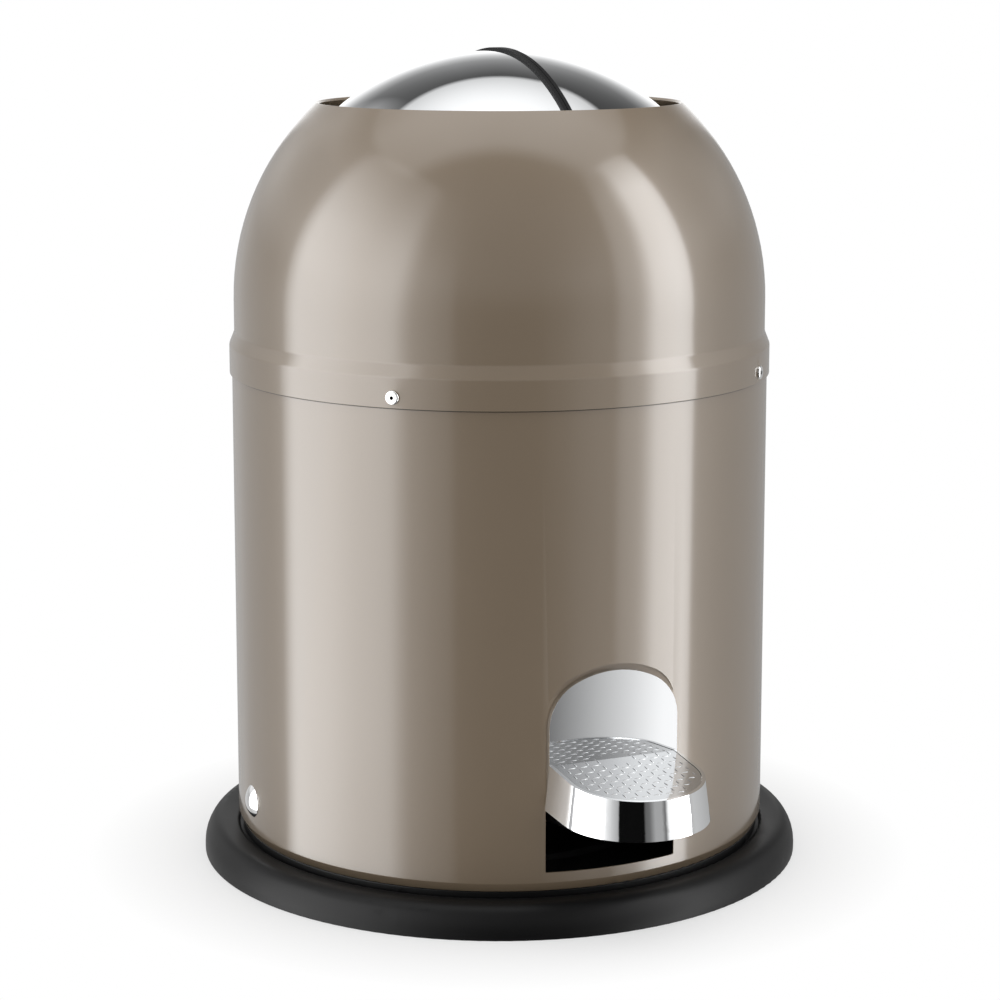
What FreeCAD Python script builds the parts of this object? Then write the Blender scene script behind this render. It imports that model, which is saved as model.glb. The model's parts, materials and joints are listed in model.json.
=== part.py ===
import FreeCAD, Part
import math
import os

# A round pedal bin. A painted steel body stands in a black plastic base ring. A painted dome
# lifts off the body, and a chrome lid of two halves turns inside it. The pedal at the front
# works a lever under the false floor, the lever lifts a rod at the back, and the rod lifts
# the yoke that turns both lid halves outwards.
# Millimetres and degrees. The floor is at zero height, the bin's axis stands on the origin,
# the pedal points to minus Y and plus Z is up.

Vector = FreeCAD.Vector
origin = Vector(0, 0, 0)
right_way = Vector(1, 0, 0)
back_way = Vector(0, 1, 0)
up_way = Vector(0, 0, 1)
full_turn = 360.0
half_turn = 180.0
tiny = 1e-6

# Clearances and metal that many pieces share
gap = 0.3                        # between pieces that move past each other
running_gap = 0.06               # all round a shaft in its hole
overrun = 2.0                    # how far a cutting tool runs past what it cuts
sheet = 0.8                      # steel of the body, dome, lid halves and bucket

# Body
body_radius = 125.0
body_foot = 15.9                 # lower edge of the body above the floor
body_height = 214.8
hem_height = 4.2                 # band at the foot that leans in
hem_inset = 1.8
hem_flange_width = 7.7
hem_bend = 1.2
body_fixings = 4

# Slot in the body for the pedal
slot_foot = 8.8                  # above the lower edge of the body
slot_side_gap = 0.4
slot_top_gap = 3.2
slot_corner = 0.8
slot_crown_growth = 1.0          # the slot's crown is that much rounder than the pedal's
slot_shoulder_growth = -1.0
seat_foot = 56.0                 # lower end of the flat seat pressed in round the slot's arch
seat_lever_gap = 1.0
seat_corner = 12.0

# Base ring
ring_width = 16.2                # from the body's side to the ring's edge
ring_flank_height = 7.4
ring_shoulder_step = 4.8
ring_height = 14.8
ring_small_rounding = 0.6
ring_flank_rounding = 14.0
ring_shoulder_rounding = 7.0
ring_lip_height = 14.0
ring_lip_rounding = 2.0
ring_groove_width = 1.6          # between the ledge under the body and the lip of the ring
ring_groove_depth = 3.9
ring_skin = 2.5
spigot_wall = 2.7
spigot_rise = 2.0
shelf_width = 8.5
shelf_drop = 5.9                 # from the body's lower edge down to the shelf
rib_count = 16
rib_thickness = 2.0
rib_foot = 2.0
boss_radius = 3.8

# Base plate and the screws that hold it and the body
plate_sheet = 1.0
bead_radius_share = 0.57         # of the plate's radius
bead_width = 8.0
bead_rise = 2.0
screw_head_radius = 2.8
screw_head_height = 1.9
screw_shank_radius = 1.4
screw_length = 7.0
plate_screw_inset = 4.2

# False floor that carries the bucket
floor_rise = 19.0                # from the pedal's axle up to the floor's underside
floor_sheet = 1.5
floor_wall_gap = 7.2
floor_lip_height = 4.0
floor_lip_wall = 1.5
floor_lip_gap = 1.5
leg_count = 4
leg_inset = 1.2
leg_wall = 2.0
leg_sweep_angle = 32.0

# Pedal axle
axle_level = 34.0
axle_radius = 4.0
cap_radius = 7.4
cap_height = 3.0
cap_seat = 1.3                   # how deep the axle's end sits in its cap
wall_bush_wall = 1.2
wall_bush_flange = 2.0
wall_bush_flange_thickness = 1.0

# Pedal shoe and the panel in its tread
pedal_front_inset = 1.0          # from the body's side back to the upright plate's face
pedal_plate_thickness = 2.5
pedal_half_width = 31.0
pedal_top = 113.2
pedal_crown_radius = 44.0
pedal_shoulder_radius = 21.0
tread_crown_radius = 34.0
tread_shoulder_radius = 29.0
tread_level = 73.9               # where the tread meets the upright plate
tread_length = 49.3
tread_slope_angle = 6.0
skirt_level = 54.15
skirt_length = 51.5
skirt_slope_angle = 2.5
skirt_flare = 2.2
skirt_wall = 2.0
tread_thickness = 3.0
tread_rim = 1.6
tread_recess = 1.0
panel_drop = 0.2
panel_gap = 0.15

# Pedal lever
pedal_travel_angle = 11.0
lever_half_width = 21.5
lever_sheet = 3.0
lever_front_foot = 44.0
lever_front_top = 52.0
lever_web_top = 100.0
lever_web_thickness = 2.0
lever_web_rounding = 12.0
lever_boss_radius = 9.0
lever_tail_half_height = 4.0
lever_tail_margin = 1.5          # past the push rod's centre
lever_pad_length = 8.5
lever_bend_rounding = 60.0
bush_wall = 2.0
bush_flange = 2.0
bush_flange_thickness = 1.0
pedal_screw_spacing = 28.0
pedal_screw_level = 88.0
pedal_screw_depth = 1.6

# Push rod, its guides and its spring
rod_radius = 3.0
rod_arm_gap = 0.5                # between the rod's top and the lid's arms
guide_rise = 42.0                # from the false floor's underside up to the lower guide
guide_drop = 35.7                # from the body's top down to the upper guide
guide_sheet = 2.0
guide_flange_height = 14.0
guide_flange_half_width = 12.0
guide_tongue_half_width = 8.0
guide_margin = 3.0
collar_radius = 5.6
collar_height = 3.0
spring_length = 42.0
spring_wire_radius = 0.6
spring_coil_radius = 4.6
spring_turns = 9

# Lid halves, seals and their travel
lid_dome_gap = 2.0               # between the lid's sphere and the dome's straight wall
lid_centre_drop = 7.0            # from the dome's centre down to the lid's axle
lid_travel_angle = 50.0
lid_wrap_angle = 52.0            # how far a half reaches round from the seam
lid_seam_angle = 0.5
seal_inner_step = 2.1
seal_outer_step = 1.3
seal_width = 1.8
seal_half_angle = 62.0

# Dome
skirt_growth = 1.1               # from the body's side out to the skirt's
skirt_overlap = 1.5
skirt_rise = 11.9                # from the body's top edge
dome_step = 5.8
dome_inset = 1.2                 # from the body's side in to the dome's wall
dome_wall_height = 14.9
dome_bend = 3.0
mouth_radius_share = 0.6817      # of the dome's radius
mouth_hem = 0.8                  # sheet that is folded back inside the mouth
mouth_hem_angle = 2.0

# Carrier ring inside the dome, and its rivets
carrier_wall = 1.1
carrier_rise = 9.3
carrier_plug_depth = 11.7
rivet_count = 4
rivet_rise = 3.2
rivet_head_radius = 3.15
rivet_head_height = 1.2
rivet_head_rounding = 0.8
rivet_hole_radius = 0.9
rivet_shank_radius = 1.7
rivet_tail_radius = 2.0
rivet_tail_height = 0.7

# Lid pivots: arms, yoke, brackets and pins, stacked along Y
arm_thickness = 1.5
arm_spacing = 0.5
arm_hub_radius = 9.0
arm_band_radius = 33.0
arm_neck_radius = 40.0
arm_neck_lean_angle = 30.0       # how far the neck leans past the seam
arm_neck_foot_angle = 8.0
crank_half_width = 4.2
crank_pin_radius = 2.0
crank_pin_end = 0.8
yoke_offset = 1.5
yoke_thickness = 2.0
yoke_tongue_half_width = 8.0
yoke_bar_half_height = 5.6
yoke_end_margin = 4.5
yoke_margin = 3.5
bracket_offset = 1.5
bracket_sheet = 2.0
bracket_wall_space = 3.0         # room behind the bracket for the pin's head
bracket_half_width = 24.0
bracket_foot_drop = 6.8
bracket_top_rise = 10.7
pin_radius = 3.0
pin_head_radius = 5.0
pin_head_height = 1.4
pin_tail = 1.0
clip_thickness = 0.8
clip_radius = 5.0
clip_groove = 0.5
spacer_radius = 5.5

# Bucket and bail
bucket_taper = 9.0
bucket_bail_gap = 4.5
bucket_rim_rise = 9.3            # above the body's top edge
bucket_bead = 2.0
bucket_bottom_rise = 3.0
bucket_foot_width = 7.0
bucket_foot_rounding = 2.5
bail_rim_drop = 12.0
bail_bulge = 4.5
bail_rod_gap = 8.0
bail_wire_radius = 1.8
bail_drop_angle = 19.0
grip_radius = 4.5
grip_sweep_angle = 42.0
ear_half_width = 7.5
ear_half_height = 7.0
ear_seat_depth = 1.6

# Levels and radii that follow from the sizes above
body_inner = body_radius - sheet
body_top = body_foot + body_height
ring_radius = body_radius + ring_width
ring_shoulder_radius = ring_radius - ring_shoulder_step
hem_outer = body_radius - hem_inset
hem_inner = hem_outer - hem_flange_width
hem_middle = (hem_inner + hem_outer) / 2
ledge_outer = hem_outer - gap
ring_lip_radius = ledge_outer + ring_groove_width
spigot_outer = hem_inner - gap
spigot_inner = spigot_outer - spigot_wall
shelf_level = body_foot - shelf_drop
shelf_inner = spigot_inner - shelf_width
plate_radius = spigot_inner - gap
plate_screw_radius = plate_radius - plate_screw_inset
plate_top = shelf_level + plate_sheet
bead_radius = plate_radius * bead_radius_share
floor_level = axle_level + floor_rise
floor_top = floor_level + floor_sheet
floor_radius = body_inner - floor_wall_gap
slot_half_width = pedal_half_width + slot_side_gap
slot_top = pedal_top + slot_top_gap
slot_crown_radius = pedal_crown_radius + slot_crown_growth
slot_shoulder_radius = pedal_shoulder_radius + slot_shoulder_growth
pedal_front = body_radius - pedal_front_inset
pedal_back = pedal_front - pedal_plate_thickness
seat_face = pedal_back - gap
skirt_radius = body_radius + skirt_growth
skirt_foot = body_top - skirt_overlap
skirt_top = body_top + skirt_rise
dome_radius = body_radius - dome_inset
dome_inner = dome_radius - sheet
dome_foot = skirt_top + dome_step
dome_centre = dome_foot + dome_wall_height
mouth_radius = dome_radius * mouth_radius_share
carrier_outer = skirt_radius - sheet
carrier_top = body_top + carrier_rise
rivet_level = body_top + rivet_rise
lid_centre = dome_centre - lid_centre_drop
lid_radius = dome_inner - lid_dome_gap
lid_inner = lid_radius - sheet
bracket_foot = lid_centre - bracket_foot_drop
bracket_top = lid_centre + bracket_top_rise
bracket_face = dome_inner - bracket_wall_space - bracket_sheet
yoke_back = bracket_face - bracket_offset
yoke_face = yoke_back - yoke_thickness
left_arm_back = yoke_face - yoke_offset
left_arm_face = left_arm_back - arm_thickness
right_arm_back = left_arm_face - arm_spacing
right_arm_face = right_arm_back - arm_thickness
rod_reach = left_arm_back + rod_arm_gap + rod_radius
lever_tail_reach = rod_reach + lever_tail_margin
lower_guide_level = floor_level + guide_rise
upper_guide_level = body_top - guide_drop
rod_travel = 2 * rod_reach * math.tan(math.radians(pedal_travel_angle / 2))
crank_reach = rod_travel / (2 * math.sin(math.radians(lid_travel_angle / 2)))
yoke_foot = lid_centre - rod_travel - pin_radius - gap - yoke_margin
rod_top = yoke_foot - gap
bail_end_reach = rod_reach - rod_radius - bail_rod_gap
bail_reach = bail_end_reach + bail_bulge
bucket_top_radius = bail_end_reach - bucket_bail_gap
bucket_foot_radius = bucket_top_radius - bucket_taper
bucket_rim = body_top + bucket_rim_rise
bail_level = bucket_rim - bail_rim_drop
lid_axle = Vector(0, 0, lid_centre)
rivet_angle = half_turn / rivet_count


def upright(a, b):
    return Vector(a, 0, b)


def sideways(a, b):
    return Vector(0, a, b)


def flat(a, b):
    return Vector(a, b, 0)


def direction(angle):
    """Level unit direction at an angle from plus X towards plus Y."""
    return Vector(math.cos(math.radians(angle)), math.sin(math.radians(angle)), 0)


def rounded_wire(corners, place):
    """Closed wire through corners (a, b, rounding); place turns a and b into a point."""
    bends = []
    for number, (a, b, rounding) in enumerate(corners):
        here = flat(a, b)
        if rounding <= 0:
            bends.append((here, None, here))
            continue
        before = flat(*corners[number - 1][:2])
        after = flat(*corners[(number + 1) % len(corners)][:2])
        to_before = (before - here).normalize()
        to_after = (after - here).normalize()
        half_angle = to_before.getAngle(to_after) / 2
        reach = rounding / math.tan(half_angle)
        middle_reach = rounding / math.sin(half_angle) - rounding
        middle = here + (to_before + to_after).normalize() * middle_reach
        bends.append((here + to_before * reach, middle, here + to_after * reach))
    edges = []
    for number, (start, middle, end) in enumerate(bends):
        if middle is not None:
            arc_points = [place(point.x, point.y) for point in (start, middle, end)]
            edges.append(Part.Arc(*arc_points).toShape())
        following = bends[(number + 1) % len(bends)][0]
        if (following - end).Length > tiny:
            line = Part.LineSegment(place(end.x, end.y), place(following.x, following.y))
            edges.append(line.toShape())
    return Part.Wire(edges)


def sharp(points):
    return [(a, b, 0) for a, b in points]


def bulge(radius, centre_level, start_angle, end_angle):
    """Corner whose rounding is an arc about (0, centre_level), angles from level."""
    half_angle = math.radians(end_angle - start_angle) / 2
    middle = math.radians(start_angle + end_angle) / 2
    reach = radius / math.cos(half_angle)
    return (reach * math.cos(middle), centre_level + reach * math.sin(middle), radius)


def on_circle(radius, centre_level, angle):
    """Sharp corner on a circle about (0, centre_level)."""
    turn = math.radians(angle)
    return (radius * math.cos(turn), centre_level + radius * math.sin(turn), 0)


def turned(corners, sweep=full_turn):
    """Solid turned about the bin's axis from an outline in radius and height."""
    face = Part.Face(rounded_wire(corners, upright))
    return face.revolve(origin, up_way, sweep)


def slab(corners, place, start, thickness_way):
    face = Part.Face(rounded_wire(corners, place))
    face.translate(start)
    return face.extrude(thickness_way)


def rod(radius, start, way, length):
    return Part.makeCylinder(radius, length, start, way)


def tube(outer, inner, start, way, length):
    bore_start = start - way * overrun
    return rod(outer, start, way, length).cut(rod(inner, bore_start, way, length + 2 * overrun))


def block(low, high):
    size = high - low
    return Part.makeBox(size.x, size.y, size.z, low)


def rotated(shape, centre, way, angle):
    copy = shape.copy()
    copy.rotate(centre, way, angle)
    return copy


def moved(shape, way):
    copy = shape.copy()
    copy.translate(way)
    return copy


def mirrored(shape, way):
    return shape.mirror(origin, way)


def round_axis(shape, count, first_angle=0.0):
    """Copies of a shape at even steps round the bin's axis."""
    step = full_turn / count
    return [rotated(shape, origin, up_way, first_angle + step * number) for number in range(count)]


def fused(shapes):
    return shapes[0].multiFuse(shapes[1:]).removeSplitter()


def cut_all(shape, cutters):
    for cutter in cutters:
        shape = shape.cut(cutter)
    return shape


def arch_corners(half_width, top, crown_radius, shoulder_radius):
    """Corners of a three-centred arch: right shoulder, crown, left shoulder."""
    side = half_width - shoulder_radius
    reach = crown_radius - shoulder_radius
    rise = math.sqrt(reach ** 2 - side ** 2)
    join_a = crown_radius * side / reach
    join_b = top - crown_radius + crown_radius * rise / reach
    shoulder_level = join_b - (half_width - join_a) * side / rise
    crown_level = join_b + join_a * side / rise
    return [
        (half_width, shoulder_level, shoulder_radius),
        (0, crown_level, crown_radius),
        (-half_width, shoulder_level, shoulder_radius),
    ]


def screw(seat, way, length):
    """Pan head with a round recess; way points along the shank."""
    back = way * -1
    head = rod(screw_head_radius, seat, back, screw_head_height)
    recess_start = seat + back * screw_head_height
    recess = rod(screw_shank_radius, recess_start, way, screw_head_height / 2)
    return fused([head.cut(recess), rod(screw_shank_radius, seat, way, length)])


def base_ring():
    """Black moulding with a rounded flank, a groove round the body, and ribs underneath."""
    flank_inner = ring_radius - ring_skin
    crown_inner = ring_shoulder_radius - ring_skin
    groove_level = body_foot - ring_groove_depth
    groove_roof = groove_level - ring_skin
    ledge_roof = body_foot - ring_skin
    lip_inner = ring_lip_radius + ring_skin
    ledge_inner = ledge_outer - ring_skin
    spigot_foot = spigot_inner + ring_skin
    shelf_roof = shelf_level - ring_skin
    skin = turned([
        (ring_radius, 0, ring_small_rounding),
        (ring_radius, ring_flank_height, ring_flank_rounding),
        (ring_shoulder_radius, ring_height, ring_shoulder_rounding),
        (ring_lip_radius, ring_lip_height, ring_lip_rounding),
        (ring_lip_radius, groove_level, 0),
        (ledge_outer, groove_level, 0),
        (ledge_outer, body_foot, ring_small_rounding),
        (spigot_outer, body_foot, 0),
        (spigot_outer, body_foot + spigot_rise, ring_small_rounding),
        (spigot_inner, body_foot + spigot_rise, ring_small_rounding),
        (spigot_inner, shelf_level, 0),
        (shelf_inner, shelf_level, 0),
        (shelf_inner, shelf_roof, 0),
        (spigot_foot, shelf_roof, 0),
        (spigot_foot, ledge_roof, 0),
        (ledge_inner, ledge_roof, 0),
        (ledge_inner, groove_roof, 0),
        (lip_inner, groove_roof, 0),
        (lip_inner, ring_lip_height - ring_skin, 0),
        (crown_inner, ring_height - ring_skin, 0),
        (flank_inner, ring_flank_height, 0),
        (flank_inner, 0, 0),
    ])
    half_skin = ring_skin / 2
    rib_outline = sharp([
        (shelf_inner + half_skin, shelf_roof + half_skin),
        (spigot_inner, rib_foot),
        (flank_inner + half_skin, rib_foot),
        (flank_inner + half_skin, ring_flank_height),
        (crown_inner, ring_height - half_skin),
        (lip_inner - half_skin, ring_lip_height - half_skin),
        (lip_inner - half_skin, groove_roof + half_skin),
        (ledge_inner + half_skin, groove_roof + half_skin),
        (ledge_inner + half_skin, ledge_roof + half_skin),
        (spigot_foot - half_skin, ledge_roof + half_skin),
        (spigot_foot - half_skin, shelf_roof + half_skin),
    ])
    rib_start = back_way * (-rib_thickness / 2)
    rib = slab(rib_outline, upright, rib_start, back_way * rib_thickness)
    ribs = round_axis(rib, rib_count, half_turn / rib_count)
    plate_boss_foot = direction(0) * plate_screw_radius + up_way * rib_foot
    plate_boss = rod(boss_radius, plate_boss_foot, up_way, shelf_roof + half_skin - rib_foot)
    body_boss_foot = direction(0) * hem_middle + up_way * rib_foot
    body_boss = rod(boss_radius, body_boss_foot, up_way, ledge_roof + half_skin - rib_foot)
    bosses = round_axis(plate_boss, body_fixings)
    bosses += round_axis(body_boss, body_fixings, half_turn / body_fixings)
    whole = fused([skin] + ribs + bosses)
    return cut_all(whole, fixing_rods(screw_shank_radius, overrun))


def fixing_rods(radius, above):
    """Rods through the shelf and the ledge where the plate and body screws go."""
    plate_foot = direction(0) * plate_screw_radius + up_way * (plate_top - screw_length)
    body_foot_point = direction(0) * hem_middle + up_way * (body_foot + sheet - screw_length)
    plate_rod = rod(radius, plate_foot, up_way, screw_length + above)
    body_rod = rod(radius, body_foot_point, up_way, screw_length + above)
    rods = round_axis(plate_rod, body_fixings)
    return rods + round_axis(body_rod, body_fixings, half_turn / body_fixings)


def base_plate():
    """Steel disc on the ring's shelf, stiffened by a pressed bead."""
    slope_out = bead_radius + bead_width / 2
    slope_in = bead_radius - bead_width / 2
    under = [
        (0, shelf_level),
        (slope_in - bead_rise, shelf_level),
        (slope_in, shelf_level + bead_rise),
        (slope_out, shelf_level + bead_rise),
        (slope_out + bead_rise, shelf_level),
        (plate_radius, shelf_level),
    ]
    above = [(a, b + plate_sheet) for a, b in reversed(under)]
    disc = turned(sharp(under + above))
    return cut_all(disc, fixing_rods(screw_shank_radius, overrun))


def plate_screws():
    seat = direction(0) * plate_screw_radius + up_way * plate_top
    return round_axis(screw(seat, up_way * -1, screw_length), body_fixings)


def body_screws():
    seat = direction(0) * hem_middle + up_way * (body_foot + sheet)
    shape = screw(seat, up_way * -1, screw_length)
    return round_axis(shape, body_fixings, half_turn / body_fixings)


def slot_prism(growth, foot, corner, back):
    """Prism with the slot's arched outline, grown all round, from the front to a level back."""
    half_width = slot_half_width + growth
    outline = [(-half_width, foot, corner), (half_width, foot, corner)]
    outline += arch_corners(
        half_width, slot_top + growth,
        slot_crown_radius + growth, slot_shoulder_radius + growth)
    front = body_radius + overrun
    return slab(outline, upright, back_way * -front, back_way * (front - back))


def pedal_seat():
    """Flat arched seat pressed into the round wall behind the pedal, open for the lever."""
    pan = slot_prism(sheet, seat_foot, 0, seat_face - sheet)
    space = slot_prism(0, seat_foot - overrun, 0, seat_face)
    half_width = lever_half_width + seat_lever_gap
    opening_top = lever_web_top + seat_lever_gap
    opening = slab([
        (-half_width, seat_foot - overrun, 0),
        (half_width, seat_foot - overrun, 0),
        (half_width, opening_top, seat_corner),
        (-half_width, opening_top, seat_corner),
    ], upright, back_way * -body_radius, back_way * body_radius)
    body_space = rod(body_radius, origin, up_way, body_top)
    return cut_all(pan.common(body_space), [space, opening])


def body_shell():
    """Rolled steel cylinder with a leaning hem, the pedal's slot and the seat round it."""
    wall = turned([
        (body_radius, body_top, 0),
        (body_radius, body_foot + hem_height, hem_bend),
        (hem_outer, body_foot, hem_bend),
        (hem_inner, body_foot, 0),
        (hem_inner, body_foot + sheet, 0),
        (hem_outer - sheet, body_foot + sheet, hem_bend / 2),
        (body_inner, body_foot + hem_height, hem_bend),
        (body_inner, body_top, 0),
    ])
    hole_radius = axle_radius + running_gap + wall_bush_wall + running_gap
    hole_start = Vector(-body_radius - overrun, 0, axle_level)
    axle_holes = rod(hole_radius, hole_start, right_way, 2 * (body_radius + overrun))
    slot = slot_prism(0, body_foot + slot_foot, slot_corner, 0)
    holes = [slot, axle_holes] + fixing_rods(screw_shank_radius, overrun)
    return fused([cut_all(wall, holes), pedal_seat()])


def false_floor():
    """Disc under the bucket on four legs, with a lip round the bucket's foot."""
    lip_inner = bucket_foot_radius + floor_lip_gap
    lip_outer = lip_inner + floor_lip_wall
    disc = turned(sharp([
        (0, floor_level),
        (floor_radius, floor_level),
        (floor_radius, floor_top),
        (lip_outer, floor_top),
        (lip_outer, floor_top + floor_lip_height),
        (lip_inner, floor_top + floor_lip_height),
        (lip_inner, floor_top),
        (0, floor_top),
    ]))
    leg_outer = plate_radius - leg_inset
    leg_top = floor_level + floor_sheet / 2
    leg = turned(sharp([
        (leg_outer - leg_wall, plate_top),
        (leg_outer, plate_top),
        (leg_outer, leg_top),
        (leg_outer - leg_wall, leg_top),
    ]), leg_sweep_angle)
    legs = round_axis(leg, leg_count, half_turn / leg_count - leg_sweep_angle / 2)
    notch_half_width = rod_radius + guide_margin
    notch = block(
        Vector(-notch_half_width, rod_reach - notch_half_width, floor_level - overrun),
        Vector(notch_half_width, floor_radius + overrun, floor_top + overrun))
    return fused([disc] + legs).cut(notch)


def pedal_axle():
    half_length = body_radius + cap_seat
    return rod(axle_radius, Vector(-half_length, 0, axle_level), right_way, 2 * half_length)


def axle_cap():
    """Low chrome dome pressed on the axle's end, on the plus X side."""
    dome_ball = (cap_radius ** 2 + cap_height ** 2) / (2 * cap_height)
    ball_centre = Vector(body_radius + cap_height - dome_ball, 0, axle_level)
    ball = Part.makeSphere(dome_ball, ball_centre)
    seat = Vector(body_radius, 0, axle_level)
    dome = ball.common(rod(cap_radius + overrun, seat, right_way, cap_height + overrun))
    return dome.cut(rod(axle_radius, seat, right_way, cap_seat))


def wall_bushes():
    """Flanged bushes that hold the axle in the body's walls."""
    bore = axle_radius + running_gap
    inner_face = body_inner - gap
    flange_start = Vector(inner_face - wall_bush_flange_thickness, 0, axle_level)
    sleeve_length = body_radius - gap - inner_face + wall_bush_flange_thickness
    flange_radius = bore + wall_bush_wall + wall_bush_flange
    sleeve = rod(bore + wall_bush_wall, flange_start, right_way, sleeve_length)
    flange = rod(flange_radius, flange_start, right_way, wall_bush_flange_thickness)
    bore_start = flange_start - right_way * overrun
    bore_rod = rod(bore, bore_start, right_way, sleeve_length + 2 * overrun)
    bush = fused([sleeve, flange]).cut(bore_rod)
    return [bush, mirrored(bush, right_way)]


def slope_place(level, slope):
    """Places (across, forward) points on a plane that falls towards the pedal's tip."""
    fall = math.sin(math.radians(slope))
    run = math.cos(math.radians(slope))
    return lambda a, b: Vector(a, -pedal_front - b * run, level - b * fall)


def shoe_outline(inset, length, rear):
    """Straight sides and an arched tip, seen from above."""
    half_width = pedal_half_width - inset
    sides = [(-half_width, rear, 0), (half_width, rear, 0)]
    crown = tread_crown_radius - inset
    shoulder = tread_shoulder_radius - inset
    return sides + arch_corners(half_width, length, crown, shoulder)


def tread_up():
    """Unit direction square to the tread."""
    slope = math.radians(tread_slope_angle)
    return Vector(0, -math.sin(slope), math.cos(slope))


def tread_prism(inset, rear, low, high):
    """Prism square to the tread between two depths under its rim."""
    outline = shoe_outline(inset, tread_length - inset, rear)
    place = slope_place(tread_level, tread_slope_angle)
    return slab(outline, place, tread_up() * -low, tread_up() * (low - high))


def pedal_shoe():
    """Chrome casting: flared skirt, sunk tread and an upright arched plate behind it."""
    tread_wire = rounded_wire(
        shoe_outline(0, tread_length, 0), slope_place(tread_level, tread_slope_angle))
    skirt_wire = rounded_wire(
        shoe_outline(-skirt_flare, skirt_length, 0), slope_place(skirt_level, skirt_slope_angle))
    outside = Part.makeLoft([skirt_wire, tread_wire], True, True)
    roof_wire = rounded_wire(
        shoe_outline(skirt_wall, tread_length - skirt_wall, -overrun),
        slope_place(tread_level - tread_thickness, tread_slope_angle))
    mouth_wire = rounded_wire(
        shoe_outline(skirt_wall - skirt_flare, skirt_length - skirt_wall, -overrun),
        slope_place(skirt_level - overrun, skirt_slope_angle))
    hollow = Part.makeLoft([mouth_wire, roof_wire], True, True)
    recess = tread_prism(tread_rim, 0, tread_recess, -overrun)
    plate_outline = [(-pedal_half_width, skirt_level, 0), (pedal_half_width, skirt_level, 0)]
    plate_outline += arch_corners(
        pedal_half_width, pedal_top, pedal_crown_radius, pedal_shoulder_radius)
    plate_start = back_way * -pedal_front
    plate = slab(plate_outline, upright, plate_start, back_way * pedal_plate_thickness)
    shoe = fused([outside.cut(hollow).cut(recess), plate])
    return cut_all(shoe, pedal_screw_rods(pedal_screw_depth))


def pedal_screw_rods(depth):
    """Holes through the lever's web and a little way into the upright plate."""
    length = depth + lever_web_thickness + overrun
    rods = []
    for side in (-1, 1):
        start = Vector(side * pedal_screw_spacing / 2, -pedal_back - depth, pedal_screw_level)
        rods.append(rod(screw_shank_radius, start, back_way, length))
    return rods


def tread_panel():
    """Patterned sheet let into the tread."""
    return tread_prism(tread_rim + panel_gap, panel_gap, tread_recess, panel_drop)


def pedal_screws():
    seat_y = lever_web_thickness - pedal_back
    length = lever_web_thickness + pedal_screw_depth
    screws = []
    for side in (-1, 1):
        seat = Vector(side * pedal_screw_spacing / 2, seat_y, pedal_screw_level)
        screws.append(screw(seat, back_way * -1, length))
    return screws


def lever_arm():
    """Side plate of the lever from the pedal past the axle to the tail, on plus X."""
    tail_drop = math.tan(math.radians(pedal_travel_angle / 2)) * lever_tail_reach
    tail_middle = axle_level - tail_drop
    outline = [
        (-pedal_back, lever_front_foot, 0),
        (0, axle_level - lever_boss_radius, lever_bend_rounding),
        (lever_tail_reach, tail_middle - lever_tail_half_height, lever_tail_half_height / 2),
        (lever_tail_reach, tail_middle + lever_tail_half_height, lever_tail_half_height / 2),
        (0, axle_level + lever_boss_radius, lever_bend_rounding),
        (-pedal_back, lever_front_top, 0),
    ]
    start = right_way * (lever_half_width - lever_sheet)
    return slab(outline, sideways, start, right_way * lever_sheet)


def pedal_lever():
    """Pressed fork: two side plates, the web behind the pedal and the pad at the tail."""
    arm = lever_arm()
    web_outline = [
        (-lever_half_width, lever_front_foot, 0),
        (lever_half_width, lever_front_foot, 0),
        (lever_half_width, lever_web_top, lever_web_rounding),
        (-lever_half_width, lever_web_top, lever_web_rounding),
    ]
    web = slab(web_outline, upright, back_way * -pedal_back, back_way * lever_web_thickness)
    pad = block(
        Vector(-lever_half_width, lever_tail_reach - lever_pad_length, axle_level),
        Vector(lever_half_width, lever_tail_reach, axle_level + lever_sheet))
    pad = rotated(pad, Vector(0, 0, axle_level), right_way, -pedal_travel_angle / 2)
    fork = fused([arm, mirrored(arm, right_way), web, pad])
    hole_start = Vector(-lever_half_width - overrun, 0, axle_level)
    hole_length = 2 * (lever_half_width + overrun)
    bush_hole = rod(axle_radius + running_gap + bush_wall, hole_start, right_way, hole_length)
    return cut_all(fork, [bush_hole] + pedal_screw_rods(pedal_screw_depth))


def lever_bushes():
    """Flanged bushes pressed into the lever's side plates."""
    bore = axle_radius + running_gap
    start = Vector(lever_half_width - lever_sheet, 0, axle_level)
    sleeve = rod(bore + bush_wall, start, right_way, lever_sheet)
    flange_start = Vector(lever_half_width, 0, axle_level)
    flange = rod(bore + bush_wall + bush_flange, flange_start, right_way, bush_flange_thickness)
    bore_start = start - right_way * overrun
    bore_length = lever_sheet + bush_flange_thickness + 2 * overrun
    bush = fused([sleeve, flange]).cut(rod(bore, bore_start, right_way, bore_length))
    return [bush, mirrored(bush, right_way)]


def push_rod():
    """Round rod with a ball foot on the lever's pad and a flat top under the yoke."""
    half_travel = math.radians(pedal_travel_angle / 2)
    pad_level = axle_level - rod_reach * math.tan(half_travel)
    foot_level = pad_level + (lever_sheet + rod_radius) / math.cos(half_travel) + gap
    foot = Vector(0, rod_reach, foot_level)
    shaft = rod(rod_radius, foot, up_way, rod_top - foot_level)
    return fused([shaft, Part.makeSphere(rod_radius, foot)])


def rod_collar():
    """Collar fixed on the rod, under the spring."""
    start = Vector(0, rod_reach, upper_guide_level - spring_length - collar_height)
    return tube(collar_radius, rod_radius + running_gap, start, up_way, collar_height)


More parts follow.
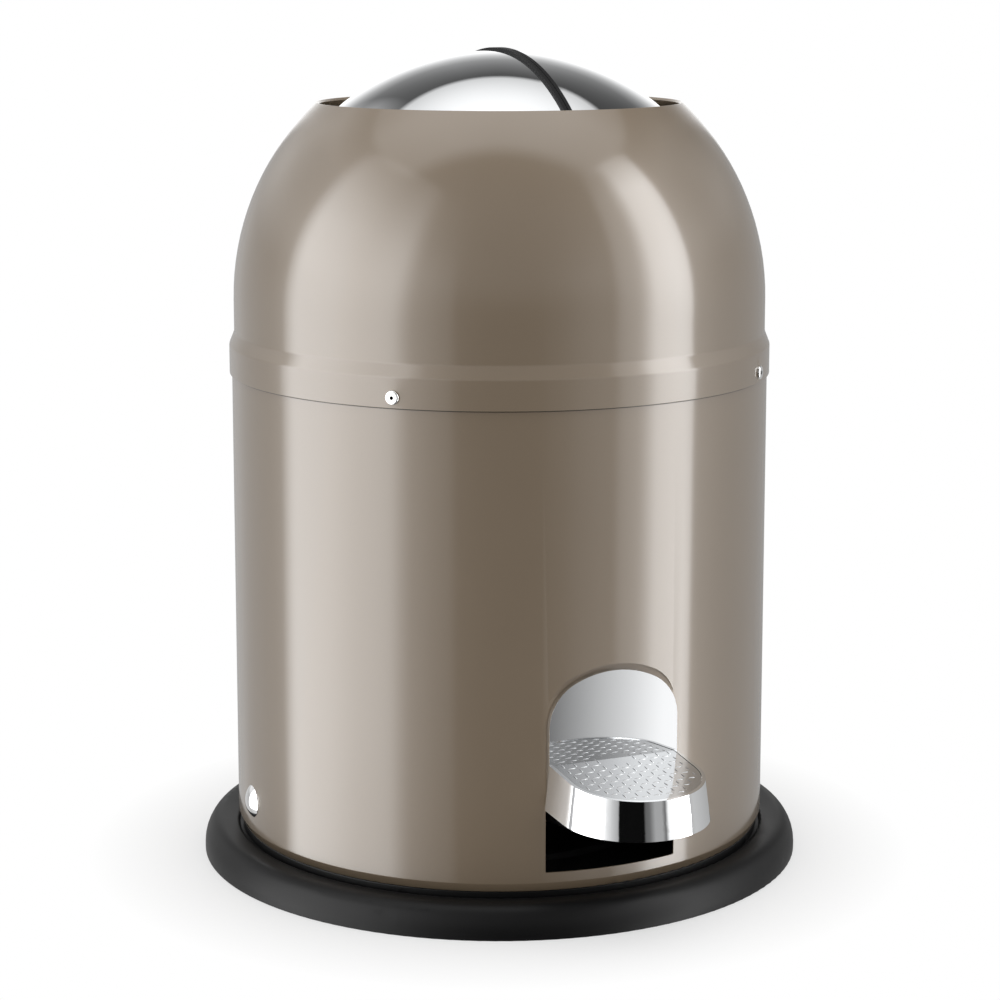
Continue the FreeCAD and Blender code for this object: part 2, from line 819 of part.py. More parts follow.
def rod_guide(level):
    """Bracket on the rear wall: a curved flange and a tongue with the rod's hole."""
    far = body_radius + overrun
    near = rod_reach - rod_radius - guide_margin
    space_foot = up_way * (level - overrun)
    space_height = guide_flange_height + 2 * overrun
    wall_cylinder = rod(body_inner, space_foot, up_way, space_height)
    core = rod(body_inner - guide_sheet, space_foot, up_way, space_height)
    flange = block(
        Vector(-guide_flange_half_width, near, level),
        Vector(guide_flange_half_width, far, level + guide_flange_height))
    flange = flange.common(wall_cylinder).cut(core)
    tongue = block(
        Vector(-guide_tongue_half_width, near, level),
        Vector(guide_tongue_half_width, far, level + guide_sheet)).common(wall_cylinder)
    hole_start = Vector(0, rod_reach, level - overrun)
    hole = rod(rod_radius + running_gap, hole_start, up_way, guide_sheet + 2 * overrun)
    return fused([flange, tongue]).cut(hole)


def arc_through(start, way, end):
    """Arc that leaves start along way and ends at end."""
    chord = end - start
    side = chord - way * chord.dot(way)
    side.normalize()
    radius = chord.dot(chord) / (2 * chord.dot(side))
    centre = start + side * radius
    outward = (start + chord * 0.5 - centre).normalize()
    return Part.Arc(start, centre + outward * radius, end).toShape()


def return_spring():
    """Compression spring round the rod, its path made of paired arcs for each half turn."""
    low = upper_guide_level - spring_length + spring_wire_radius
    rise = spring_length - 2 * spring_wire_radius
    steps = 2 * spring_turns
    step_rise = rise / steps
    slope = step_rise / (math.pi * spring_coil_radius)
    edges = []
    for number in range(steps):
        ends = []
        for step in (number, number + 1):
            way = direction(half_turn * step)
            point = way * spring_coil_radius + Vector(0, rod_reach, low + step_rise * step)
            along = direction(half_turn * step + half_turn / 2) + up_way * slope
            ends.append((point, along.normalize()))
        (start, start_way), (end, end_way) = ends
        chord = end - start
        both = chord.dot(start_way + end_way)
        facing = 2 * (1 - start_way.dot(end_way))
        reach = (math.sqrt(both ** 2 + facing * chord.dot(chord)) - both) / facing
        join = (start + start_way * reach + end - end_way * reach) * 0.5
        edges.append(arc_through(start, start_way, join))
        edges.append(arc_through(join, (end - end_way * reach - join).normalize(), end))
    path = Part.Wire(edges)
    start_way = edges[0].tangentAt(edges[0].FirstParameter)
    circle = Part.Circle(edges[0].valueAt(edges[0].FirstParameter), start_way, spring_wire_radius)
    profile = Part.Wire([circle.toShape()])
    least_gap = step_rise * 2 - 2 * spring_wire_radius
    print("spring: least gap between turns", round(least_gap, 2))
    return path.makePipeShell([profile], True, False)


def dome_shell():
    """Painted dome: skirt over the body, step, round shoulder and a hemmed mouth."""
    mouth_angle = math.degrees(math.acos(mouth_radius / dome_radius))
    hem_angle = mouth_angle - mouth_hem_angle
    hem_radius = dome_inner - mouth_hem
    shell = turned([
        (skirt_radius, skirt_foot, 0),
        (skirt_radius, skirt_top, dome_bend),
        (dome_radius, dome_foot, dome_bend),
        bulge(dome_radius, dome_centre, 0, mouth_angle),
        on_circle(dome_radius, dome_centre, mouth_angle),
        on_circle(hem_radius, dome_centre, mouth_angle),
        bulge(hem_radius, dome_centre, hem_angle, mouth_angle),
        on_circle(hem_radius, dome_centre, hem_angle),
        on_circle(dome_inner, dome_centre, hem_angle),
        bulge(dome_inner, dome_centre, 0, hem_angle),
        (dome_inner, dome_foot, dome_bend),
        (carrier_outer, skirt_top, dome_bend),
        (carrier_outer, skirt_foot, 0),
    ])
    return cut_all(shell, rivet_holes())


def rivet_holes():
    start = direction(0) * (body_inner - overrun) + up_way * rivet_level
    hole = rod(rivet_shank_radius, start, right_way, body_radius - body_inner + 2 * overrun)
    return round_axis(hole, rivet_count, rivet_angle)


def carrier_ring():
    """Ring riveted inside the dome's skirt; it rests on the body and plugs into it."""
    plug_outer = body_inner - gap
    ring = turned(sharp([
        (carrier_outer, carrier_top),
        (carrier_outer, body_top),
        (plug_outer, body_top),
        (plug_outer, body_top - carrier_plug_depth),
        (plug_outer - carrier_wall, body_top - carrier_plug_depth),
        (plug_outer - carrier_wall, body_top + carrier_wall),
        (carrier_outer - carrier_wall, body_top + carrier_wall),
        (carrier_outer - carrier_wall, carrier_top),
    ]))
    return cut_all(ring, rivet_holes())


def dome_rivets():
    """Hollow rivets through the skirt and the carrier ring."""
    inside = math.sqrt((carrier_outer - carrier_wall) ** 2 - rivet_tail_radius ** 2)
    tail_end = inside - rivet_tail_height
    head_end = skirt_radius + rivet_head_height
    outline = [
        (tail_end, rivet_hole_radius, 0),
        (tail_end, rivet_tail_radius, 0),
        (inside, rivet_tail_radius, 0),
        (inside, rivet_shank_radius, 0),
        (skirt_radius, rivet_shank_radius, 0),
        (skirt_radius, rivet_head_radius, 0),
        (head_end, rivet_head_radius, rivet_head_rounding),
        (head_end, rivet_hole_radius, 0),
    ]
    face = Part.Face(rounded_wire(outline, upright))
    rivet = moved(face.revolve(origin, right_way, full_turn), up_way * rivet_level)
    return round_axis(rivet, rivet_count, rivet_angle)


def pivot_bracket():
    """Plate across the rear of the dome that carries the lid's pivot pin."""
    reach = dome_inner + overrun
    dome_space = rod(dome_inner, up_way * bracket_foot, up_way, bracket_top - bracket_foot)
    plate = block(
        Vector(-bracket_half_width, bracket_face, bracket_foot),
        Vector(bracket_half_width, bracket_face + bracket_sheet, bracket_top))
    shapes = [plate]
    for side in (-1, 1):
        edges = sorted((side * bracket_half_width, side * (bracket_half_width - bracket_sheet)))
        low = Vector(edges[0], bracket_face, bracket_foot)
        shapes.append(block(low, Vector(edges[1], reach, bracket_top)))
    shoulder = Part.makeSphere(dome_inner, up_way * dome_centre)
    below_foot = up_way * (bracket_foot - overrun)
    below = rod(dome_inner, below_foot, up_way, dome_centre - bracket_foot + overrun)
    inside = fused([shoulder, below])
    bracket = fused(shapes).common(dome_space).common(inside)
    hole_start = Vector(0, bracket_face - overrun, lid_centre)
    return bracket.cut(rod(pin_radius, hole_start, back_way, reach))


def pivot_pin():
    """Headed pin through the bracket, the yoke and both arms, with a clip groove."""
    head_face = bracket_face + bracket_sheet
    clip_back = right_arm_face - gap
    tip = clip_back - clip_thickness - pin_tail
    shaft = rod(pin_radius, Vector(0, tip, lid_centre), back_way, head_face - tip)
    head = rod(pin_head_radius, Vector(0, head_face, lid_centre), back_way, pin_head_height)
    groove_start = Vector(0, clip_back - clip_thickness, lid_centre)
    groove = tube(pin_head_radius, pin_radius - clip_groove, groove_start, back_way, clip_thickness)
    return fused([shaft, head]).cut(groove)


def pin_clips():
    """Retaining clips in the grooves of both pivot pins."""
    start = Vector(0, right_arm_face - gap - clip_thickness, lid_centre)
    clip = tube(clip_radius, pin_radius - clip_groove, start, back_way, clip_thickness)
    opening_half_width = pin_radius - clip_groove
    opening = block(
        Vector(-opening_half_width, start.y - overrun, lid_centre - clip_radius - overrun),
        Vector(opening_half_width, start.y + clip_thickness + overrun, lid_centre))
    clip = clip.cut(opening)
    return [clip, mirrored(clip, back_way)]


def pivot_spacers():
    """Spacers on the pins: beside the yoke at the rear, and behind the arms at the front."""
    bore = pin_radius + running_gap
    rear = [(left_arm_back + gap, yoke_face - gap), (yoke_back + gap, bracket_face)]
    front = [(-bracket_face, -left_arm_back - gap)]
    return [
        tube(spacer_radius, bore, Vector(0, low, lid_centre), back_way, high - low)
        for low, high in rear + front
    ]


def lid_shell():
    """Chrome left half: a strip of the lid sphere turned about the lid's axle."""
    outer_side = math.sqrt(lid_radius ** 2 - left_arm_back ** 2)
    inner_side = math.sqrt(lid_inner ** 2 - left_arm_back ** 2)
    outline = [
        (-left_arm_back, outer_side, 0),
        (0, lid_radius ** 2 / outer_side, lid_radius),
        (left_arm_back, outer_side, 0),
        (left_arm_back, inner_side, 0),
        (0, lid_inner ** 2 / inner_side, lid_inner),
        (-left_arm_back, inner_side, 0),
    ]
    face = Part.Face(rounded_wire(outline, sideways))
    face.rotate(origin, back_way, -lid_seam_angle)
    shell = face.revolve(origin, back_way * -1, lid_wrap_angle - lid_seam_angle)
    return moved(shell, lid_axle)


def lid_half_shell(arm_back):
    """The left half's shell, shortened to end at its own arms."""
    limit = block(
        Vector(-lid_radius - overrun, -arm_back, lid_centre - lid_radius),
        Vector(lid_radius + overrun, arm_back, lid_centre + lid_radius + overrun))
    return lid_shell().common(limit)


def seam_seal(shell):
    """Rubber strip over the seam edge of the left half."""
    outer = lid_radius + seal_outer_step
    inner = lid_radius - seal_inner_step
    sweep = math.radians(seal_half_angle)
    outline = [
        (-outer * math.sin(sweep), outer * math.cos(sweep), 0),
        (0, outer / math.cos(sweep), outer),
        (outer * math.sin(sweep), outer * math.cos(sweep), 0),
        (inner * math.sin(sweep), inner * math.cos(sweep), 0),
        (0, inner / math.cos(sweep), inner),
        (-inner * math.sin(sweep), inner * math.cos(sweep), 0),
    ]
    start = lid_axle - right_way * (seal_width + gap / 2)
    strip = slab(outline, sideways, start, right_way * seal_width)
    return strip.cut(shell)


def arm_sector(inner, outer, face, first, last):
    """Flat ring sector about the lid's axle, angles from the seam towards minus X."""
    outline = sharp([
        (face, inner),
        (face + arm_thickness, inner),
        (face + arm_thickness, outer),
        (face, outer),
    ])
    plate = Part.Face(rounded_wire(outline, sideways))
    plate.rotate(origin, back_way, -first)
    return moved(plate.revolve(origin, back_way * -1, last - first), lid_axle)


def lid_arm(face, with_crank):
    """Rear arm of the left half: hub, leaning neck, band along the shell, and crank."""
    hub = rod(arm_hub_radius, Vector(0, face, lid_centre), back_way, arm_thickness)
    neck = arm_sector(0, arm_neck_radius, face, -arm_neck_lean_angle, arm_neck_foot_angle)
    band = arm_sector(arm_band_radius, lid_inner, face, lid_seam_angle, lid_wrap_angle)
    shapes = [hub, neck, band]
    if with_crank:
        bar = block(
            Vector(0, face, lid_centre - crank_half_width),
            Vector(crank_reach, face + arm_thickness, lid_centre + crank_half_width))
        end = rod(crank_half_width, Vector(crank_reach, face, lid_centre), back_way, arm_thickness)
        for piece in (bar, end):
            shapes.append(rotated(piece, lid_axle, back_way, lid_travel_angle / 2))
    arm = fused(shapes).common(Part.makeSphere(lid_inner, lid_axle))
    hole_start = Vector(0, face - overrun, lid_centre)
    arm = arm.cut(rod(pin_radius + running_gap, hole_start, back_way, arm_thickness + 2 * overrun))
    if with_crank:
        arm = arm.cut(crank_pin(face))
    return arm


def crank_pin(face):
    """Stud through the left half's crank into the yoke's slot."""
    start = Vector(crank_reach, face, lid_centre)
    stud = rod(crank_pin_radius, start, back_way, yoke_back + crank_pin_end - face)
    return rotated(stud, lid_axle, back_way, lid_travel_angle / 2)


def yoke_slab(left, right, low, high, rounding, past=0.0):
    """Rounded rectangle through the yoke's thickness, longer at both faces by past."""
    outline = [
        (left, low, rounding),
        (right, low, rounding),
        (right, high, rounding),
        (left, high, rounding),
    ]
    thickness_way = back_way * (yoke_thickness + 2 * past)
    return slab(outline, upright, back_way * (yoke_face - past), thickness_way)


def lid_yoke():
    """Plate that slides on the rear pivot pin and carries both crank pins in its slots."""
    pin_level = lid_centre - rod_travel / 2
    end_reach = crank_reach + crank_pin_radius + yoke_end_margin
    corner = yoke_bar_half_height / 2
    pin_space = pin_radius + gap
    bar = yoke_slab(
        -end_reach, end_reach,
        pin_level - yoke_bar_half_height, pin_level + yoke_bar_half_height, corner)
    tongue = yoke_slab(
        -yoke_tongue_half_width, yoke_tongue_half_width,
        yoke_foot, lid_centre + pin_space + yoke_margin, corner)
    pin_slot = yoke_slab(
        -pin_space, pin_space,
        lid_centre - rod_travel - pin_space, lid_centre + pin_space, pin_space, overrun)
    stud_space = crank_pin_radius + gap
    nearest = crank_reach * math.cos(math.radians(lid_travel_angle / 2))
    crank_slot = yoke_slab(
        nearest - stud_space, crank_reach + stud_space,
        pin_level - stud_space, pin_level + stud_space, stud_space, overrun)
    yoke = fused([bar, tongue])
    return cut_all(yoke, [pin_slot, crank_slot, mirrored(crank_slot, right_way)])


def bucket_outline(offset):
    """Outside of the bucket from its axis to the rim, moved inwards by offset."""
    foot = floor_top + offset
    foot_radius = bucket_foot_radius - offset
    inner_foot = bucket_foot_radius - bucket_foot_width
    return [
        (0, foot + bucket_bottom_rise, 0),
        (inner_foot - bucket_bottom_rise, foot + bucket_bottom_rise, bucket_bottom_rise / 2),
        (inner_foot, foot, bucket_bottom_rise / 2),
        (foot_radius, foot, bucket_foot_rounding - offset),
        (bucket_top_radius - offset, bucket_rim - bucket_bead, 0),
    ]


def bucket():
    """Tapered steel bucket with a raised bottom and a rolled rim."""
    wall = turned(bucket_outline(0) + bucket_outline(sheet)[::-1])
    bead_centre = up_way * (bucket_rim - bucket_bead)
    bead = Part.makeTorus(bucket_top_radius, bucket_bead, bead_centre)
    return fused([wall, bead])


def bail_ears():
    """Plates on the bucket's wall with the holes that the bail's ends turn in."""
    face = bail_end_reach - bail_wire_radius - gap
    solid_bucket = turned(bucket_outline(0) + [(0, bucket_rim - bucket_bead, 0)])
    start = back_way * (face - ear_half_width)
    outline = [
        (-ear_half_width, bail_level - ear_half_height, ear_half_width / 2),
        (ear_half_width, bail_level - ear_half_height, ear_half_width / 2),
        (ear_half_width, bail_level + ear_half_height, ear_half_width / 2),
        (-ear_half_width, bail_level + ear_half_height, ear_half_width / 2),
    ]
    ear = slab(outline, upright, start, back_way * ear_half_width).cut(solid_bucket)
    hole_start = Vector(0, face - ear_seat_depth, bail_level)
    ear = ear.cut(rod(bail_wire_radius + running_gap, hole_start, back_way, ear_seat_depth + overrun))
    return [ear, mirrored(ear, back_way)]


def bail_arc():
    """Centre and radius of the level arc through both ends and the middle of the bail."""
    centre = (bail_reach ** 2 - bail_end_reach ** 2) / (2 * bail_reach)
    return right_way * centre + up_way * bail_level, bail_reach - centre


def dropped(shape):
    """The bail hangs down against the bucket on the plus X side."""
    return rotated(shape, up_way * bail_level, back_way, bail_drop_angle)


def bail_tube(radius, half_sweep):
    centre, arc_radius = bail_arc()
    middle = centre + right_way * arc_radius
    ring = Part.Circle(middle, back_way, radius)
    face = Part.Face(Part.Wire([ring.toShape()]))
    face.rotate(centre, up_way, -half_sweep)
    return face.revolve(centre, up_way, 2 * half_sweep)


def bail_half_sweep():
    centre, arc_radius = bail_arc()
    return half_turn - math.degrees(math.asin(bail_end_reach / arc_radius))


def bail_wire():
    """Bent wire with an inward pin at each end."""
    arc = bail_tube(bail_wire_radius, bail_half_sweep())
    ear_face = bail_end_reach - bail_wire_radius - gap
    pin_tip = ear_face - ear_seat_depth + gap
    shapes = [arc]
    for side in (-1, 1):
        corner = Vector(0, side * bail_end_reach, bail_level)
        shapes.append(Part.makeSphere(bail_wire_radius, corner))
        shapes.append(rod(bail_wire_radius, corner, back_way * -side, bail_end_reach - pin_tip))
    return dropped(fused(shapes))


def bail_grip():
    """Plastic sleeve round the middle of the bail."""
    sleeve = bail_tube(grip_radius, grip_sweep_angle / 2)
    return dropped(sleeve.cut(bail_tube(bail_wire_radius, grip_sweep_angle)))


left_shell = lid_half_shell(left_arm_back)
right_shell = lid_half_shell(right_arm_back)
left_arm = lid_arm(left_arm_face, True)
right_arm = lid_arm(right_arm_face, True)
left_front_arm = lid_arm(left_arm_face, False)
right_front_arm = lid_arm(right_arm_face, False)

nodes = {
    "base_ring": base_ring(),
    "base_plate": base_plate(),
    "base_screws": plate_screws(),
    "body_shell": body_shell(),
    "body_screws": body_screws(),
    "false_floor": false_floor(),
    "pedal_axle": pedal_axle(),
    "axle_cap_left": mirrored(axle_cap(), right_way),
    "axle_cap_right": axle_cap(),
    "axle_bushes": wall_bushes(),
    "rod_guide_lower": rod_guide(lower_guide_level),
    "rod_guide_upper": rod_guide(upper_guide_level),
    "return_spring": return_spring(),
    "pedal_shoe": pedal_shoe(),
    "tread_panel": tread_panel(),
    "pedal_screws": pedal_screws(),
    "pedal_lever": pedal_lever(),
    "lever_bushes": lever_bushes(),
    "push_rod": push_rod(),
    "rod_collar": rod_collar(),
    "dome_shell": dome_shell(),
    "carrier_ring": carrier_ring(),
    "dome_rivets": dome_rivets(),
    "pivot_bracket_rear": pivot_bracket(),
    "pivot_bracket_front": mirrored(pivot_bracket(), back_way),
    "pivot_pin_rear": pivot_pin(),
    "pivot_pin_front": mirrored(pivot_pin(), back_way),
    "pin_clips": pin_clips(),
    "pivot_spacers": pivot_spacers(),
    "lid_yoke": lid_yoke(),
    "lid_left": left_shell,
    "lid_seal_left": seam_seal(left_shell),
    "lid_arm_left_rear": left_arm,
    "lid_arm_left_front": mirrored(left_front_arm, back_way),
    "crank_pin_left": crank_pin(left_arm_face),
    "lid_right": mirrored(right_shell, right_way),
    "lid_seal_right": mirrored(seam_seal(right_shell), right_way),
    "lid_arm_right_rear": mirrored(right_arm, right_way),
    "lid_arm_right_front": mirrored(mirrored(right_front_arm, right_way), back_way),
    "crank_pin_right": mirrored(crank_pin(right_arm_face), right_way),
    "bucket": bucket(),
    "bail_ears": bail_ears(),
    "bail_wire": bail_wire(),
    "bail_grip": bail_grip(),
}

os.makedirs("parts", exist_ok=True)
for name, shape in nodes.items():
    whole = Part.makeCompound(shape) if isinstance(shape, list) else shape
    whole.exportStep("parts/" + name + ".step")
print("rod travel", round(rod_travel, 3), "crank reach", round(crank_reach, 3))
print(len(nodes), "nodes")
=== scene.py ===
# %% [markdown]
# # A pedal bin with a turning chrome lid
# The bin stands on the origin with its pedal towards minus Y. All lengths here are metres. The
# CAD model gives every piece its shape and place. This lesson adds what the eye reads as paint,
# chrome, rubber and plastic, rounds the outer edges, and sets small bars on the pedal's tread.

# %% Load the frame
import json
import math

import bpy
from mathutils import Matrix, Quaternion, Vector


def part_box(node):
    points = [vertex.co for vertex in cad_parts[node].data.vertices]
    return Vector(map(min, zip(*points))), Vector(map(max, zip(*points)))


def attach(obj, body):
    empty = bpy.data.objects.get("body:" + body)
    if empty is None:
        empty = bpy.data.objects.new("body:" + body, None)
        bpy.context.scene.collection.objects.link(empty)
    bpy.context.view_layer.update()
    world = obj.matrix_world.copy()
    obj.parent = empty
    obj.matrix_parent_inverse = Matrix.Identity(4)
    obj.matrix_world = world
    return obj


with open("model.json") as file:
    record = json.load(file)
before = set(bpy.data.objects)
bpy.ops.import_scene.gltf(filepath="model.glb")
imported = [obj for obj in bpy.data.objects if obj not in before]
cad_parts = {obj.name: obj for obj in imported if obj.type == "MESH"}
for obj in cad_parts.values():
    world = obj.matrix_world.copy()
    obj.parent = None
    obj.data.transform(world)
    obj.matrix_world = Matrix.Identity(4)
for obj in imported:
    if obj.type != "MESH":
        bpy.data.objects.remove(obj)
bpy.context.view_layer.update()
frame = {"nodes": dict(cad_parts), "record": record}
nodes = frame["nodes"]
mm = 0.001
micron = 0.001 * mm

# %% [markdown]
# The camera stands to the left of the pedal and a little above the bin, and looks slightly
# down. A small shift of the lens keeps the bin's sides nearly upright, as a product photographer
# does, and is small enough that the same camera can walk round the bin.

# %% Camera
camera_place = Vector((-0.5003, -1.1344, 0.4146))
camera_turn = math.radians(-23.80)
camera_tilt = math.radians(9.196)
camera_data = bpy.data.cameras.new("photo_camera")
camera_data.sensor_width = 36.0
camera_data.lens = 96.036
camera_data.shift_x = 0.0005
camera_data.shift_y = -0.10
camera = bpy.data.objects.new("photo_camera", camera_data)
bpy.context.scene.collection.objects.link(camera)
camera.location = camera_place
camera.rotation_euler = (math.pi / 2 - camera_tilt, 0, camera_turn)
bpy.context.scene.camera = camera
print("camera at", [round(v, 3) for v in camera.location])

# %% [markdown]
# Directions round the bin are easiest to name from the camera: 0 degrees is towards the camera,
# positive angles are to its right. Every lamp is placed that way and aimed at the bin.

# %% Directions from the camera
to_camera = Vector((math.sin(camera_turn), -math.cos(camera_turn), 0.0))
to_right = Vector((math.cos(camera_turn), math.sin(camera_turn), 0.0))


def around(angle, reach, height):
    """Point at an angle to the right of the camera's direction, seen from the bin."""
    turn = math.radians(angle)
    level = (to_camera * math.cos(turn) + to_right * math.sin(turn)) * reach
    return level + Vector((0, 0, height))


print("towards the camera:", [round(v, 3) for v in to_camera])

# %% [markdown]
# Shader maths reads best as ordinary sums. One small class wraps a socket and overloads the
# operators, so that a sum on it adds Math nodes.


# %% Sums on sockets
class Wire:
    """The output of a shader node; sums and products on it add Math nodes."""

    def __init__(self, finish, socket):
        self.finish = finish
        self.socket = socket

    def other(self, name):
        """Another output of the same node."""
        return Wire(self.finish, self.socket.node.outputs[name])

    def maths(self, operation, first, second):
        return self.finish.add("ShaderNodeMath", {"operation": operation}, {0: first, 1: second})

    def __add__(self, other):
        return self.maths("ADD", self, other)

    __radd__ = __add__

    def __sub__(self, other):
        return self.maths("SUBTRACT", self, other)

    def __rsub__(self, other):
        return self.maths("SUBTRACT", other, self)

    def __mul__(self, other):
        return self.maths("MULTIPLY", self, other)

    __rmul__ = __mul__


print("sums and products:", [name for name in vars(Wire) if name.startswith("__r")])

# %% [markdown]
# A second class owns the node tree of a material, a lamp or the world. One method adds any node
# with its settings and inputs, and the others are short names for the nodes used most.


# %% Node trees by calls
class Finish:
    """A material, a lamp or the world that is built from nodes by calls."""

    def __init__(self, owner):
        self.owner = owner
        owner.use_nodes = True
        self.tree = owner.node_tree
        self.tree.nodes.clear()

    def add(self, kind, settings=None, inputs=None, output=0):
        """New node: its settings first, then values or links for its sockets."""
        node = self.tree.nodes.new(kind)
        for name, value in (settings or {}).items():
            if name == "stops":
                self.set_stops(node.color_ramp, value)
            else:
                setattr(node, name, value)
        for key, value in (inputs or {}).items():
            if isinstance(value, Wire):
                self.tree.links.new(value.socket, node.inputs[key])
            else:
                node.inputs[key].default_value = value
        return Wire(self, node.outputs[output]) if node.outputs else None

    def set_stops(self, ramp, stops):
        """Stops of a colour ramp, each (place, grey)."""
        while len(ramp.elements) < len(stops):
            ramp.elements.new(0.5)
        for element, (place, grey) in zip(ramp.elements, stops):
            element.position = place
            element.color = (grey, grey, grey, 1)

    def mix(self, factor, first, second):
        """Colour between first and second."""
        low, high = [v if isinstance(v, Wire) else (*v, 1) for v in (first, second)]
        return self.add(
            "ShaderNodeMix", {"data_type": "RGBA"}, {0: factor, 6: low, 7: high}, output=2)

    def ramp(self, factor, stops):
        """Grey that follows the stops while the factor goes from 0 to 1."""
        return self.add("ShaderNodeValToRGB", {"stops": stops}, {0: factor})

    def place(self):
        """Object coordinates: a CAD node's own place in metres."""
        return self.add("ShaderNodeTexCoord", output=3)

    def noise(self, scale, detail=2.0, where=None, rough=0.5):
        """Soft grey noise; the larger the scale, the finer it is."""
        place = self.place() if where is None else where
        inputs = {"Vector": place, "Scale": scale, "Detail": detail, "Roughness": rough}
        return self.add("ShaderNodeTexNoise", None, inputs)

    def stretched(self, x, y, z):
        """Object coordinates with each axis scaled."""
        return self.add("ShaderNodeMapping", None, {"Vector": self.place(), "Scale": (x, y, z)})

    def bump(self, height, depth):
        """Normal of a surface whose height varies by the depth."""
        return self.add("ShaderNodeBump", None, {"Height": height, "Distance": depth})

    def surface(self, **sockets):
        """Principled shader into the output; names use underscores for spaces."""
        inputs = {name.replace("_", " "): value for name, value in sockets.items()}
        shader = self.add("ShaderNodeBsdfPrincipled", None, inputs)
        self.add("ShaderNodeOutputMaterial", None, {"Surface": shader})


finishes = {}


def new_finish(name):
    """New material, kept in finishes under the slot's name."""
    finishes[name] = bpy.data.materials.new(name + "_finish")
    return Finish(finishes[name])


def toned(colour, factor):
    """The same colour, lighter or darker by a factor."""
    return tuple(part * factor for part in colour)


print("a colour toned by half:", toned((1.0, 0.5, 0.25), 0.5))

# %% [markdown]
# A softbox is a lamp behind a cloth, and the cloth is brightest in its middle. So a ramp across
# the lamp's face and one up it dim its edges, which makes its band on the paint soft. The lamp
# only shows as a reflection, because the paint itself is lit evenly from all round.


# %% A softbox
def softbox(name, angles, levels, reach, glow, across, upward, lean):
    """Lamp between two angles and two levels, facing the bin's axis; glow is its radiance."""
    middle = sum(angles) / 2
    half_angle = math.radians(angles[1] - angles[0]) / 2
    data = bpy.data.lights.new(name, "AREA")
    data.shape = "RECTANGLE"
    data.size = 2 * reach * math.tan(half_angle)
    data.size_y = levels[1] - levels[0]
    data.energy = glow * math.pi * data.size * data.size_y
    cloth = Finish(data)
    face = cloth.add("ShaderNodeNewGeometry", output="Parametric")
    face_across = cloth.add("ShaderNodeSeparateXYZ", None, {0: face}, output="X")
    face_upward = face_across.other("Y")
    edge = [(0.5 + math.tan(math.radians(angle - middle)) / math.tan(half_angle) / 2, share)
            for angle, share in across]
    fade = cloth.ramp(face_across, edge) * cloth.ramp(face_upward, upward)
    glowing = cloth.add("ShaderNodeEmission", None, {"Strength": fade})
    cloth.add("ShaderNodeOutputLight", None, {"Surface": glowing})
    lamp = bpy.data.objects.new(name, data)
    bpy.context.scene.collection.objects.link(lamp)
    lamp.location = around(middle, reach, sum(levels) / 2)
    facing_bin = around(middle, 1.0, 0.0).to_track_quat("Z", "Y")
    lamp.rotation_euler = (facing_bin @ Quaternion((0, 0, 1), math.radians(lean))).to_euler()
    lamp.visible_camera = False
    lamp.visible_diffuse = False
    print(name, "is", round(data.size, 2), "m wide and", round(data.size_y, 2), "m high")


# %% [markdown]
# The photograph shows two upright softboxes as pale bands on the paint, a broad one on the left
# and a narrow one on the right. Both lean a little to the right at the top, which slants the
# bands on the dome.

# %% Side lamps
side_reach = 1.6
side_levels = (-1.2, 2.3)
softbox(
    "left_softbox", (-100, -15), side_levels, side_reach, glow=4.15, lean=-7,
    across=[(-100, 0.15), (-92, 0.93), (-71, 0.88), (-57, 0.72), (-46, 0.70), (-42, 0.66),
            (-38, 0.35), (-34, 0.125), (-25, 0.05), (-15, 0.0)],
    upward=[(0.0, 1.0), (0.35, 1.0), (0.48, 1.12), (0.62, 1.05), (0.80, 0.55), (1.0, 0.2)])
softbox(
    "right_softbox", (47, 87), side_levels, side_reach, glow=5.3, lean=-2,
    across=[(47, 0.0), (48.3, 0.05), (49.8, 0.11), (51, 0.175), (54, 0.19), (58, 0.21),
            (60, 0.26), (63, 0.5), (67, 0.92), (80, 1.0), (87, 0.8)],
    upward=[(0.0, 1.0), (0.33, 1.0), (0.48, 1.25), (0.80, 1.25), (0.93, 0.7), (1.0, 0.3)])

# %% [markdown]
# A lamp overhead lights the bin from above and makes the soft shadow round its foot. It is left
# out of reflections, because the world below draws its own ceiling for them.

# %% Lamp overhead
ceiling_side = 2.2
ceiling_glow = 0.9
ceiling = bpy.data.lights.new("ceiling_softbox", "AREA")
ceiling.shape = "RECTANGLE"
ceiling.size = ceiling_side
ceiling.size_y = ceiling_side
ceiling.energy = ceiling_glow * math.pi * ceiling_side * ceiling_side
ceiling_softbox = bpy.data.objects.new("ceiling_softbox", ceiling)
ceiling_softbox.location = around(180, 0.15, 1.9)
ceiling_softbox.visible_camera = False
ceiling_softbox.visible_glossy = False
bpy.context.scene.collection.objects.link(ceiling_softbox)

# %% [markdown]
# The studio round the bin is drawn by the world, by direction. Reflections see pale walls whose
# grey changes with the angle, dark where the camera and its operator stand. A direction runs
# from -1 to 1 and a ramp from 0 to 1, so each direction is halved and shifted first.

# %% Studio walls
studio = bpy.data.worlds.new("studio")
bpy.context.scene.world = studio
room = Finish(studio)
way = room.add("ShaderNodeTexCoord", output=0)


def along(direction):
    """How far the ray points in a level direction."""
    return room.add("ShaderNodeVectorMath", {"operation": "DOT_PRODUCT"},
                    {0: way, 1: tuple(direction)}, output="Value")


